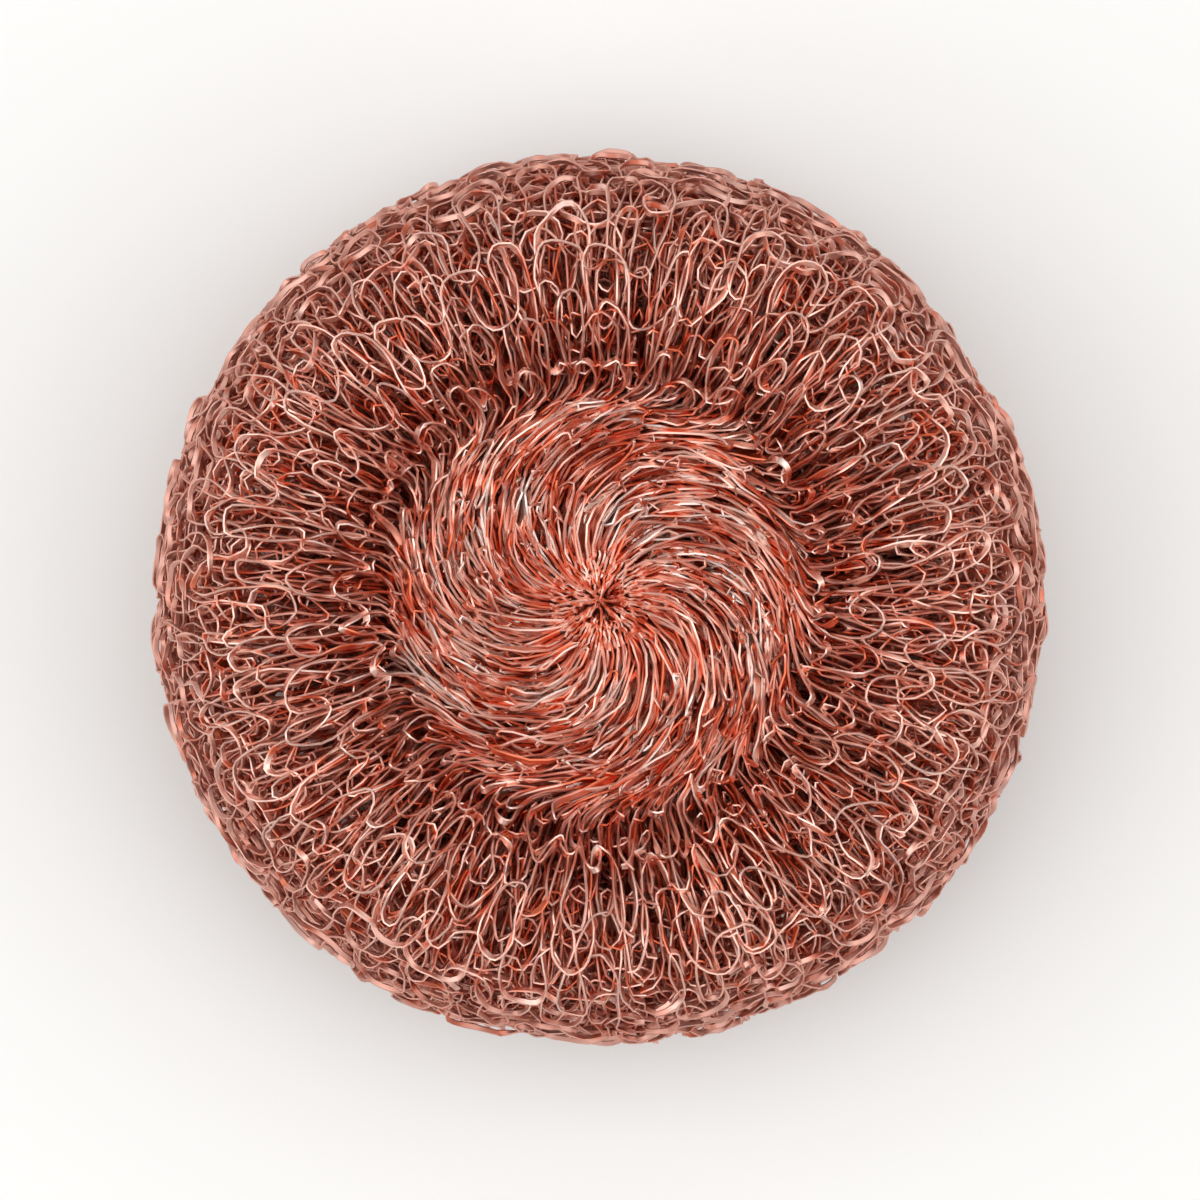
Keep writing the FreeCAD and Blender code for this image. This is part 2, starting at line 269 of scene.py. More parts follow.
class FinishSettings(bpy.types.PropertyGroup):
    """Colours of the wire: its coat, darker and duller at the side, and pale steel patches that are partly
    wear and partly painted glints.
    """

    bright_copper: colour("Bright copper", "Copper coat where it is clean", "#FCCFBF")
    deep_copper: colour("Deep copper", "Copper coat where it is darker", "#DE7858")
    # Pale steel patches stand partly for wire worn to bare steel and partly for painted glints
    bare_steel: colour("Bare steel", "Where the rolling wore the coat thin", "#EFE4DE")
    # Darker, duller copper that the side is given
    dull_copper: colour("Dull copper", "Copper coat that has dulled at the side", "#C27C6A")
    smoothest: ratio("Smoothest", "Roughness where the wire is rolled smooth", 0.24)
    roughest: ratio("Roughest", "Roughness where the wire is rolled least smooth", 0.42)
    side_roughness: ratio("Side roughness", "What the side has more", 0.16)
    side_dulling: ratio("Side dulling", "Share of dull copper at the side", 0.55)
    wear: ratio("Wear", "Share of bare steel in worn patches", 0.35)
    swirl_wear: ratio("Swirl wear", "What the swirl has more", 0.55)
    swirl_depth: ratio("Swirl depth", "How much deeper the coat is in the swirl", 0.09)
    centre_depth: ratio("Centre depth", "How much deeper it is in the centre than round it", 0.03)
    die_lines: mm("Die lines", "Depth of the lines along the wire, drawn deeper so that they show", 0.03)


class StageSettings(bpy.types.PropertyGroup):
    """Floor, light and camera."""

    floor_colour: colour("Floor", "Colour of the floor", "#F2F1EF")
    floor_size: mm("Floor size", "Side of the square floor", 6000)
    camera_height: mm("Camera height", "Height of the camera over the floor", 620)
    field: mm("Field", "Width that the picture spans at the scrubber", 94)
    front_power: watts("Front", "Power of the lamp overhead", 1.95)
    top_power: watts("Top", "Power of the lamp at the top", 0.65)
    left_power: watts("Left", "Power of the lamp at the left", 1.6)
    right_power: watts("Right", "Power of the lamp at the right", 1.35)
    sky: ratio("Sky", "Strength of the even light all round", 0.52)


SETTINGS = {
    "scrubber_sleeve": SleeveSettings,
    "scrubber_knit": KnitSettings,
    "scrubber_end": EndSettings,
    "scrubber_neck": NeckSettings,
    "scrubber_finish": FinishSettings,
    "scrubber_stage": StageSettings,
}


def arc(centre, radius, start, end, step):
    """Points and outward normals of an arc in the r and z plane, from angle start to angle end."""
    steps = max(2, math.ceil(abs(end - start) * radius / step))
    for i in range(steps):
        angle = start + (end - start) * i / steps
        normal = Vector((math.cos(angle), math.sin(angle)))
        yield centre + normal * radius, normal


def crest_centres(sleeve):
    """Centres of the rolled crests, in the front and in the back, in the r and z plane."""
    half_height = (sleeve.pad_height + sleeve.rest_flat) / 2
    rise = half_height - sleeve.shoulder_radius
    crest_r = sleeve.pad_radius - sleeve.shoulder_radius - rise * math.tan(sleeve.side_angle / 2)
    front = Vector((crest_r, sleeve.pad_height - sleeve.shoulder_radius))
    back = Vector((crest_r, sleeve.shoulder_radius - sleeve.rest_flat))
    return front, back


def meridian(sleeve, depth, step=PATH_STEP):
    """Points and outward normals of a ply's meridian at a depth under the outside, from the neck at the
    front over the crest and the side to the neck at the back."""
    front, back = crest_centres(sleeve)
    side, up = sleeve.side_angle, math.pi / 2
    side_radius = sleeve.shoulder_radius + (front.y - back.y) / 2 / math.sin(side)
    middle = Vector((sleeve.pad_radius - side_radius, (front.y + back.y) / 2))
    crest = sleeve.shoulder_radius - depth
    yield from face_floor(sleeve, depth, front, 1, step)
    yield from arc(front, crest, up + sleeve.front_slope, side, step)
    yield from arc(middle, side_radius - depth, side, -side, step)
    yield from arc(back, crest, -side, -up - sleeve.back_slope, step)
    yield from reversed(list(face_floor(sleeve, depth, back, -1, step)))


def face_floor(sleeve, depth, crest_centre, up, step):
    """Points and outward normals of one face's floor, from the neck to the wall: up is 1 in the front."""
    slope, fillet, cone = (
        (sleeve.front_slope, sleeve.front_fillet, sleeve.front_cone)
        if up > 0
        else (sleeve.back_slope, sleeve.back_fillet, sleeve.back_cone)
    )
    reach = sleeve.shoulder_radius + fillet
    centre = crest_centre + Vector((-math.sin(slope), up * math.cos(slope))) * reach
    radius = fillet + depth
    floor = centre + Vector((math.sin(cone), -up * math.cos(cone))) * radius
    normal = Vector((-math.sin(cone), up * math.cos(cone)))
    inward = Vector((-math.cos(cone), -up * math.sin(cone)))
    turn = sleeve.neck_turn
    run = (floor.x - sleeve.neck_radius - turn * (1 - math.sin(cone))) / math.cos(cone)
    bend = floor + inward * run
    pivot = bend - normal * turn
    for i in range(NECK_TURN_STEPS):
        angle = math.pi - (math.pi / 2 - cone) * i / NECK_TURN_STEPS
        out = Vector((math.cos(angle), up * math.sin(angle)))
        yield pivot + out * turn, out
    steps = math.ceil(run / step)
    for i in range(steps):
        yield bend - inward * run * i / steps, normal
    for point, out in arc(Vector((0, 0)), radius, cone - math.pi / 2, slope - math.pi / 2, step):
        yield centre + Vector((point.x, up * point.y)), Vector((-out.x, -up * out.y))


def twist_rate(sleeve, r, on_front):
    """Angle that a wale turns through for each metre of the meridian: it grows with the distance
    from the axis, and dies out past the edge of the swirl."""
    fade = min(1.0, max(0.0, 1 - (r - sleeve.swirl_radius) / sleeve.twist_fade))
    rate = fade**2 * r / sleeve.twist_radius**2
    return rate if on_front else rate * sleeve.back_twist


def turned(point, normal, angle):
    """A point and a normal of the r and z plane, turned round the axis into space."""
    x, y = math.cos(angle), math.sin(angle)
    return Vector((point.x * x, point.x * y, point.y)), Vector((normal.x * x, normal.x * y, normal.y))


def wale_path(sleeve, depth):
    """Points and outward normals of one wale of a ply: the meridian bent sideways by the twist."""
    line = list(meridian(sleeve, depth))
    widest = max(range(len(line)), key=lambda i: line[i][0].x)
    angle, last = 0.0, line[0][0]
    for i, (point, normal) in enumerate(line):
        angle -= twist_rate(sleeve, point.x, i < widest) * (point - last).length
        last = point
        yield turned(point, normal, angle)


def strand_path(sleeve, neck, step=PATH_STEP):
    """Points and outward normals of one wire of the neck: in over the front floor, along the axis with the
    rope's twist, and out over the back floor."""
    front, back = crest_centres(sleeve)
    floors = []
    for centre, up in ((front, 1), (back, -1)):
        floor = [pair for pair in face_floor(sleeve, 0.0, centre, up, step) if pair[0].x < neck.flare]
        sunk = [(p - n * neck.sink * (p.x / neck.flare) ** 2, n) for p, n in floor]
        floors.append(sunk)
    top, bottom = floors[0][0][0].y, floors[1][0][0].y
    steps = round((top - bottom) / step)
    drop = (bottom - top) / steps
    axis = [(Vector((sleeve.neck_radius, top + drop * i)), Vector((-1, 0))) for i in range(1, steps)]
    rope = -neck.rope_turns * TURN / steps
    line = floors[0][::-1] + axis + floors[1]
    angle, last = 0.0, line[0][0]
    for i, (point, normal) in enumerate(line):
        on_front, on_back = i < len(floors[0]), i >= len(line) - len(floors[1])
        if on_front or on_back:
            outward_turn = twist_rate(sleeve, point.x, on_front) * (point - last).length
            angle += outward_turn if on_front else -outward_turn
        else:
            angle += rope
        last = point
        yield turned(point, normal, angle)


def path_object(name, path):
    """A line of edges through the path's points, which keeps the outward normals as an attribute."""
    points, normals = zip(*path)
    mesh = bpy.data.meshes.new(name)
    mesh.from_pydata(points, [(i, i + 1) for i in range(len(points) - 1)], [])
    outward = mesh.attributes.new("outward", "FLOAT_VECTOR", "POINT")
    outward.data.foreach_set("vector", [c for normal in normals for c in normal])
    made = bpy.data.objects.new(name, mesh)
    bpy.context.scene.collection.objects.link(made)
    return made


def path_length(path):
    """The length of a path."""
    return sum((b[0] - a[0]).length for a, b in zip(path, path[1:]))


def add_node(tree, kind, inputs=(), **settings):
    """Adds a node. Each input is a value, a socket, or a node whose first output is meant; inputs is a list
    in order or a dict by name."""
    node = tree.nodes.new(kind)
    for name, value in settings.items():
        setattr(node, name, value)
    pairs = inputs.items() if isinstance(inputs, dict) else enumerate(inputs)
    for key, value in pairs:
        if isinstance(value, bpy.types.Node):
            value = value.outputs[0]
        if isinstance(value, bpy.types.NodeSocket):
            tree.links.new(value, node.inputs[key])
        else:
            node.inputs[key].default_value = value
    return node


WIRE_INPUTS = [
    ("NodeSocketFloat", ("Kink", "Wire tilt", "Swirl tilt", "Wire width", "Wire thickness")),
    ("NodeSocketFloat", ("Swirl width", "Rim width", "Coat depth", "Seed")),
    ("NodeSocketMaterial", ("Material",)),
]

KNIT_INPUTS = [
    ("NodeSocketGeometry", ("Wale",)),
    ("NodeSocketInt", ("Wales", "Courses", "First course", "Courses made", "Loop points")),
    ("NodeSocketFloat", ("Reach", "Bulge", "Uneven bulge", "Stretch", "Relief", "Lap")),
    ("NodeSocketFloat", ("Wander along", "Wander across", "Wander up")),
    ("NodeSocketFloat", ("Clump", "Lumps", "Lump size", "Rim calm")),
    *WIRE_INPUTS,
]

NECK_INPUTS = [
    ("NodeSocketGeometry", ("Strand",)),
    ("NodeSocketInt", ("Strands",)),
    ("NodeSocketFloat", ("Core radius", "Core inset")),
    *WIRE_INPUTS,
]


def new_tree(name, inputs):
    """An empty tree of geometry nodes with the named inputs, and the sockets that give them."""
    tree = bpy.data.node_groups.new(name, "GeometryNodeTree")
    tree.interface.new_socket("Geometry", in_out="OUTPUT", socket_type="NodeSocketGeometry")
    for kind, socket_names in inputs:
        for socket_name in socket_names:
            tree.interface.new_socket(socket_name, in_out="INPUT", socket_type=kind)
    return tree, add_node(tree, "NodeGroupInput").outputs


def lay_wire(tree, given, curves, normal, place, along, row, rows):
    """Ends a tree: crimps the curves, lays flattened wire along them, unrolls it and gives it its material.
    The place differs for every bit of wire, and is kept for the material."""
    crimp = add_node(
        tree, NOISE, {"Vector": place, "Scale": per_loop(CRIMP_LENGTH), "Detail": 0.0}
    )
    crimp_even = add_node(
        tree, VECTOR_MATH, [crimp.outputs["Color"], EVEN], operation="SUBTRACT"
    )
    # The swirl is drawn in tight, so its wire is crimped most and lies side by side in broad strokes, and it
    # is pulled straight where it goes into the neck
    at = add_node(tree, "GeometryNodeInputPosition")
    flat_at = add_node(tree, VECTOR_MATH, [at, FLAT], operation="MULTIPLY")
    distance = add_node(tree, VECTOR_MATH, [flat_at], operation="LENGTH").outputs["Value"]
    drawn_in = add_node(tree, MAP_RANGE, [distance, *SWIRL_EDGE, 1.0, LOOSE_CRIMP])
    pulled = add_node(tree, MAP_RANGE, [distance, *NECK_PULL, PULLED_CRIMP, 1.0])
    crimp_share = add_node(tree, MATH, [drawn_in, pulled], operation="MULTIPLY")
    crimp_size = add_node(tree, MATH, [crimp_share, given["Kink"]], operation="MULTIPLY")
    crimp_offset = add_node(
        tree, VECTOR_MATH, {0: crimp_even, "Scale": crimp_size}, operation="SCALE"
    )
    crimped = add_node(tree, "GeometryNodeSetPosition", {"Geometry": curves, "Offset": crimp_offset})
    # The surface under the scrubber presses the wire up
    at_parts = add_node(tree, "ShaderNodeSeparateXYZ", [at]).outputs
    pressed_z = add_node(
        tree, MATH, [at_parts[2], given["Wire width"], PRESS_ROUND], operation="SMOOTH_MAX"
    )
    pressed_at = add_node(tree, "ShaderNodeCombineXYZ", [at_parts[0], at_parts[1], pressed_z])
    pressed = add_node(tree, "GeometryNodeSetPosition", {"Geometry": crimped, "Position": pressed_at})
    placed = add_node(
        tree, STORE,
        {"Geometry": pressed, "Name": "wire_place", "Value": place}, data_type="FLOAT_VECTOR", domain="POINT",
    )
    # Keeps the painted shade of the plies below for the material
    ply_shade_stored = add_node(
        tree, STORE,
        {"Geometry": placed, "Name": "coat_depth", "Value": given["Coat depth"]},
        data_type="FLOAT", domain="POINT",
    )
    faced = add_node(tree, "GeometryNodeSetCurveNormal", {"Curve": ply_shade_stored, "Normal": normal}, mode="FREE")
    tilt_place = add_node(tree, VECTOR_MATH, [place, TILT_SHIFT], operation="ADD")
    tilt_noise = add_node(
        tree, NOISE, {"Vector": tilt_place, "Scale": per_loop(TILT_LENGTH), "Detail": 0.0}
    )
    tilt_even = add_node(tree, MATH, [tilt_noise.outputs["Fac"], 0.5], operation="SUBTRACT")
    tilt_size = add_node(
        tree, MAP_RANGE, [distance, *SWIRL_EDGE, given["Swirl tilt"], given["Wire tilt"]]
    )
    tilt = add_node(tree, MATH, [tilt_even, tilt_size], operation="MULTIPLY")
    tilted = add_node(tree, "GeometryNodeSetCurveTilt", {"Curve": faced, "Tilt": tilt})
    half_width = add_node(tree, MATH, [given["Wire width"], 0.5], operation="MULTIPLY")
    half_thickness = add_node(tree, MATH, [given["Wire thickness"], 0.5], operation="MULTIPLY")
    section_size = add_node(tree, "ShaderNodeCombineXYZ", [half_width, half_thickness, 1.0])
    circle = add_node(tree, "GeometryNodeCurvePrimitiveCircle", {"Resolution": WIRE_SIDES, "Radius": 1.0})
    # A circle's six points, of which the four at the top and bottom move out to make broad flats
    round_parts = add_node(tree, "ShaderNodeSeparateXYZ", [at]).outputs
    off_middle = add_node(tree, MATH, [round_parts[0]], operation="ABSOLUTE")
    spread = add_node(
        tree, MATH, [off_middle, -FLAT_SPREAD, 1.0 + FLAT_SPREAD], operation="MULTIPLY_ADD"
    )
    flat_x = add_node(tree, MATH, [round_parts[0], spread], operation="MULTIPLY")
    flat_point = add_node(tree, "ShaderNodeCombineXYZ", [flat_x, round_parts[1], 0.0])
    flattened = add_node(tree, "GeometryNodeSetPosition", {"Geometry": circle, "Position": flat_point})
    section = add_node(tree, "GeometryNodeTransform", {"Geometry": flattened, "Scale": section_size})
    corner = add_node(tree, "GeometryNodeInputIndex")
    numbered_section = add_node(
        tree, STORE, {"Geometry": section, "Name": "corner", "Value": corner},
        data_type="FLOAT", domain="POINT",
    )
    swirl_breadth = add_node(tree, MAP_RANGE, [distance, *SWIRL_EDGE, given["Swirl width"], 1.0])
    rim_breadth = add_node(tree, MAP_RANGE, [distance, *SIDE_WIRE, 1.0, given["Rim width"]])
    breadth = add_node(tree, MATH, [swirl_breadth, rim_breadth], operation="MULTIPLY")
    wire = add_node(
        tree, "GeometryNodeCurveToMesh",
        {"Curve": tilted, "Profile Curve": numbered_section, "Scale": breadth, "Fill Caps": True},
    )
    # One strip of the map for each row of wire, folded so that its two sides share the strip
    corner_number = add_node(tree, NAMED, {"Name": "corner"}, data_type="FLOAT")
    side = add_node(tree, MATH, [corner_number, 2 / WIRE_SIDES, -1.0], operation="MULTIPLY_ADD")
    folded = add_node(tree, MATH, [side], operation="ABSOLUTE")
    margin = (1 - STRIP_FILL) / 2
    strip = add_node(tree, MATH, [folded, STRIP_FILL, margin], operation="MULTIPLY_ADD")
    strip_row = add_node(tree, MATH, [strip, row], operation="ADD")
    strip_place = add_node(tree, MATH, [strip_row, rows], operation="DIVIDE")
    unrolled = add_node(tree, "ShaderNodeCombineXYZ", [along, strip_place])
    mapped = add_node(
        tree, STORE, {"Geometry": wire, "Name": "OFBake", "Value": unrolled},
        data_type="FLOAT2", domain="CORNER",
    )
    # The edges along the wire stay crisp
    ends = add_node(tree, "GeometryNodeInputMeshEdgeVertices").outputs
    end_corners = [
        add_node(
            tree, "GeometryNodeFieldAtIndex", {"Index": end, "Value": corner_number},
            data_type="FLOAT", domain="POINT",
        )
        for end in ends[:2]
    ]
    across = add_node(
        tree, "FunctionNodeCompare", end_corners, data_type="FLOAT", operation="NOT_EQUAL"
    )
    smooth = add_node(
        tree, "GeometryNodeSetShadeSmooth", {"Geometry": mapped, "Shade Smooth": across}, domain="EDGE"
    )
    realized = add_node(tree, "GeometryNodeRealizeInstances", {"Geometry": smooth})
    dressed = add_node(tree, "GeometryNodeSetMaterial", {"Geometry": realized, "Material": given["Material"]})
    add_node(tree, "NodeGroupOutput", [dressed])


def knit_tree():
    """Geometry nodes that knit courses of wire loops along the wales of one ply."""
    tree, given = new_tree(KNIT_TREE, KNIT_INPUTS)

    # One straight row per course, with a point for every step along the wire
    steps = add_node(
        tree, MATH, [given["Wales"], given["Loop points"], 1], operation="MULTIPLY_ADD"
    )
    line = add_node(tree, "GeometryNodeCurvePrimitiveLine", {"End": (1, 0, 0)})
    course_row = add_node(tree, "GeometryNodeResampleCurve", {"Curve": line, "Count": steps})
    part = add_node(tree, "GeometryNodeSplineParameter")
    turn_row = add_node(
        tree, STORE, {"Geometry": course_row, "Name": "turn", "Value": part},
        data_type="FLOAT", domain="POINT",
    )
    copies = add_node(
        tree, "GeometryNodeDuplicateElements", {"Geometry": turn_row, "Amount": given["Courses made"]},
        domain="SPLINE",
    )
    rows = add_node(
        tree, STORE,
        {"Geometry": copies, "Name": "row", "Value": copies.outputs["Duplicate Index"]},
        data_type="FLOAT", domain="POINT",
    )
    turn = add_node(tree, NAMED, {"Name": "turn"}, data_type="FLOAT")
    row = add_node(tree, NAMED, {"Name": "row"}, data_type="FLOAT")
    course = add_node(tree, MATH, [row, given["First course"]], operation="ADD")
    loop = add_node(tree, MATH, [turn, given["Wales"]], operation="MULTIPLY")
    wave = add_node(tree, MATH, [loop, TURN], operation="MULTIPLY")
    double_wave = add_node(tree, MATH, [wave, 2.0], operation="MULTIPLY")
    cos_wave = add_node(tree, MATH, [wave], operation="COSINE")
    cos_double = add_node(tree, MATH, [double_wave], operation="COSINE")
    sin_double = add_node(tree, MATH, [double_wave], operation="SINE")

    # Seeded wander of the wire: smooth along each course and different in every course
    seed_place = add_node(tree, MATH, [given["Seed"], SEED_STEP], operation="MULTIPLY")
    course_place = add_node(tree, MATH, [course, COURSE_STEP], operation="MULTIPLY")
    place = add_node(tree, "ShaderNodeCombineXYZ", [loop, course_place, seed_place])
    wander = add_node(tree, NOISE, {"Vector": place, "Scale": WANDERS_PER_LOOP, "Detail": 1.0})
    wander_even = add_node(
        tree, VECTOR_MATH, [wander.outputs["Color"], EVEN], operation="SUBTRACT"
    )
    wander_parts = add_node(tree, "ShaderNodeSeparateXYZ", [wander_even]).outputs

    # Along the wale: a loop's head and foot, then longer loops near the necks than at the side
    helix = add_node(tree, MATH, [course, turn], operation="ADD")
    looped = add_node(tree, MATH, [cos_wave, given["Reach"], helix], operation="MULTIPLY_ADD")
    coordinate = add_node(
        tree, MATH, [wander_parts[0], given["Wander along"], looped], operation="MULTIPLY_ADD"
    )
    share = add_node(tree, MATH, [coordinate, given["Courses"]], operation="DIVIDE")
    share_wave = add_node(tree, MATH, [share, TURN], operation="MULTIPLY")
    share_sine = add_node(tree, MATH, [share_wave], operation="SINE")
    stretch = add_node(tree, MATH, [given["Stretch"], TURN], operation="DIVIDE")
    factor = add_node(tree, MATH, [share_sine, stretch, share], operation="MULTIPLY_ADD")

    # Round the sleeve: a loop swells past its wale, most where it stands high
    swell = add_node(tree, MATH, [given["Bulge"], TURN], operation="DIVIDE")
    swell_share = add_node(
        tree, MATH, [wander_parts[2], given["Uneven bulge"], 1.0], operation="MULTIPLY_ADD"
    )
    uneven_swell = add_node(tree, MATH, [swell, swell_share], operation="MULTIPLY")
    swollen = add_node(tree, MATH, [sin_double, uneven_swell, loop], operation="MULTIPLY_ADD")
    strayed = add_node(
        tree, MATH, [wander_parts[1], given["Wander across"], swollen], operation="MULTIPLY_ADD"
    )
    wale_place = add_node(
        tree, MATH, [given["Seed"], WALE_STEP, strayed], operation="MULTIPLY_ADD"
    )
    wale_angle = add_node(tree, MATH, [TURN, given["Wales"]], operation="DIVIDE")
    angle = add_node(tree, MATH, [wale_place, wale_angle], operation="MULTIPLY")

    wale = add_node(tree, "GeometryNodeMeshToCurve", {"Mesh": given["Wale"]})
    outward = add_node(tree, NAMED, {"Name": "outward"}, data_type="FLOAT_VECTOR")
    sample = add_node(
        tree, "GeometryNodeSampleCurve", {"Curves": wale, "Value": outward, "Factor": factor},
        data_type="FLOAT_VECTOR", mode="FACTOR", use_all_curves=True,
    )
    on_sleeve = add_node(
        tree, "ShaderNodeVectorRotate", {"Vector": sample.outputs["Position"], "Angle": angle},
        rotation_type="Z_AXIS",
    )
    normal = add_node(
        tree, "ShaderNodeVectorRotate", {"Vector": sample.outputs["Value"], "Angle": angle},
        rotation_type="Z_AXIS",
    )

    # Off the surface: lumps of the whole sleeve, ridges of neighbouring wales, and the loop's own relief
    lump_scale = add_node(tree, MATH, [1.0, given["Lump size"]], operation="DIVIDE")
    lump = add_node(tree, NOISE, {"Vector": on_sleeve, "Scale": lump_scale, "Detail": 1.0})
    lump_even = add_node(tree, MATH, [lump.outputs["Fac"], 0.5], operation="SUBTRACT")
    lump_height = add_node(tree, MATH, [lump_even, given["Lumps"]], operation="MULTIPLY")
    clump_place = add_node(tree, "ShaderNodeCombineXYZ", [loop, course, seed_place])
    clump_scaled = add_node(tree, VECTOR_MATH, [clump_place, CLUMP_SCALE], operation="MULTIPLY")
    clump = add_node(tree, NOISE, {"Vector": clump_scaled, "Scale": 1.0, "Detail": 1.0})
    clump_even = add_node(tree, MATH, [clump.outputs["Fac"], 0.5], operation="SUBTRACT")
    clumped = add_node(
        tree, MATH, [clump_even, given["Clump"], lump_height], operation="MULTIPLY_ADD"
    )
    relief = add_node(
        tree, MATH, [cos_double, given["Relief"], clumped], operation="MULTIPLY_ADD"
    )
    lapped = add_node(tree, MATH, [cos_wave, given["Lap"], relief], operation="MULTIPLY_ADD")
    height = add_node(
        tree, MATH, [wander_parts[2], given["Wander up"], lapped], operation="MULTIPLY_ADD"
    )
    # The side is stretched smooth
    flat_place = add_node(tree, VECTOR_MATH, [on_sleeve, FLAT], operation="MULTIPLY")
    distance = add_node(tree, VECTOR_MATH, [flat_place], operation="LENGTH").outputs["Value"]
    calm = add_node(tree, MAP_RANGE, [distance, *SIDE_CALM, 1.0, given["Rim calm"]])
    calm_height = add_node(tree, MATH, [height, calm], operation="MULTIPLY")
    offset = add_node(tree, VECTOR_MATH, {0: normal, "Scale": calm_height}, operation="SCALE")
    position = add_node(tree, VECTOR_MATH, [on_sleeve, offset], operation="ADD")
    facing = add_node(
        tree, STORE, {"Geometry": rows, "Name": "facing", "Value": normal},
        data_type="FLOAT_VECTOR", domain="POINT",
    )
    laid = add_node(tree, "GeometryNodeSetPosition", {"Geometry": facing, "Position": position})
    kept_normal = add_node(
        tree, NAMED, {"Name": "facing"}, data_type="FLOAT_VECTOR"
    )
    lay_wire(tree, given, laid, kept_normal, place, turn, row, given["Courses made"])
    return tree


def neck_tree():
    """Geometry nodes that gather strands of wire round the axis."""
    tree, given = new_tree("Gather the neck", NECK_INPUTS)
    strand = add_node(tree, "GeometryNodeMeshToCurve", {"Mesh": given["Strand"]})
    part = add_node(tree, "GeometryNodeSplineParameter")
    measured = add_node(
        tree, STORE, {"Geometry": strand, "Name": "along", "Value": part},
        data_type="FLOAT", domain="POINT",
    )
    copies = add_node(
        tree, "GeometryNodeDuplicateElements", {"Geometry": measured, "Amount": given["Strands"]},
        domain="SPLINE",
    )
    rows = add_node(
        tree, STORE,
        {"Geometry": copies, "Name": "row", "Value": copies.outputs["Duplicate Index"]},
        data_type="FLOAT", domain="POINT",
    )
    along = add_node(tree, NAMED, {"Name": "along"}, data_type="FLOAT")
    row = add_node(tree, NAMED, {"Name": "row"}, data_type="FLOAT")
    seed_place = add_node(tree, MATH, [given["Seed"], SEED_STEP], operation="MULTIPLY")
    row_place = add_node(tree, MATH, [row, COURSE_STEP], operation="MULTIPLY")
    along_place = add_node(tree, MATH, [along, STRAND_LOOPS], operation="MULTIPLY")
    place = add_node(tree, "ShaderNodeCombineXYZ", [along_place, row_place, seed_place])

    # Each strand at its own angle, and at its own distance from the axis inside the neck
    spacing = add_node(tree, MATH, [TURN, given["Strands"]], operation="DIVIDE")
    angle = add_node(tree, MATH, [row, spacing], operation="MULTIPLY")
    at = add_node(tree, "GeometryNodeInputPosition")
    around = add_node(tree, "ShaderNodeVectorRotate", {"Vector": at, "Angle": angle}, rotation_type="Z_AXIS")
    flat = add_node(tree, VECTOR_MATH, [around, FLAT], operation="MULTIPLY")
    distance = add_node(tree, VECTOR_MATH, [flat], operation="LENGTH")
    inside = add_node(tree, MAP_RANGE, [distance.outputs["Value"], *NECK_FUNNEL, 0.0, 1.0])
    inmost = add_node(tree, MATH, [given["Core inset"], -1.0], operation="MULTIPLY")
    pick = add_node(
        tree, "FunctionNodeRandomValue", {2: inmost, 3: given["Core radius"], "ID": row, "Seed": 5},
        data_type="FLOAT",
    )
    spread = add_node(tree, MATH, [pick.outputs[1], inside], operation="MULTIPLY")
    way_out = add_node(tree, VECTOR_MATH, [flat], operation="NORMALIZE")
    offset = add_node(tree, VECTOR_MATH, {0: way_out, "Scale": spread}, operation="SCALE")
    position = add_node(tree, VECTOR_MATH, [around, offset], operation="ADD")
    outward = add_node(tree, NAMED, {"Name": "outward"}, data_type="FLOAT_VECTOR")
    normal = add_node(
        tree, "ShaderNodeVectorRotate", {"Vector": outward, "Angle": angle}, rotation_type="Z_AXIS"
    )
    laid = add_node(tree, "GeometryNodeSetPosition", {"Geometry": rows, "Position": position})
    lay_wire(tree, given, laid, normal, place, along, row, given["Strands"])
    return tree


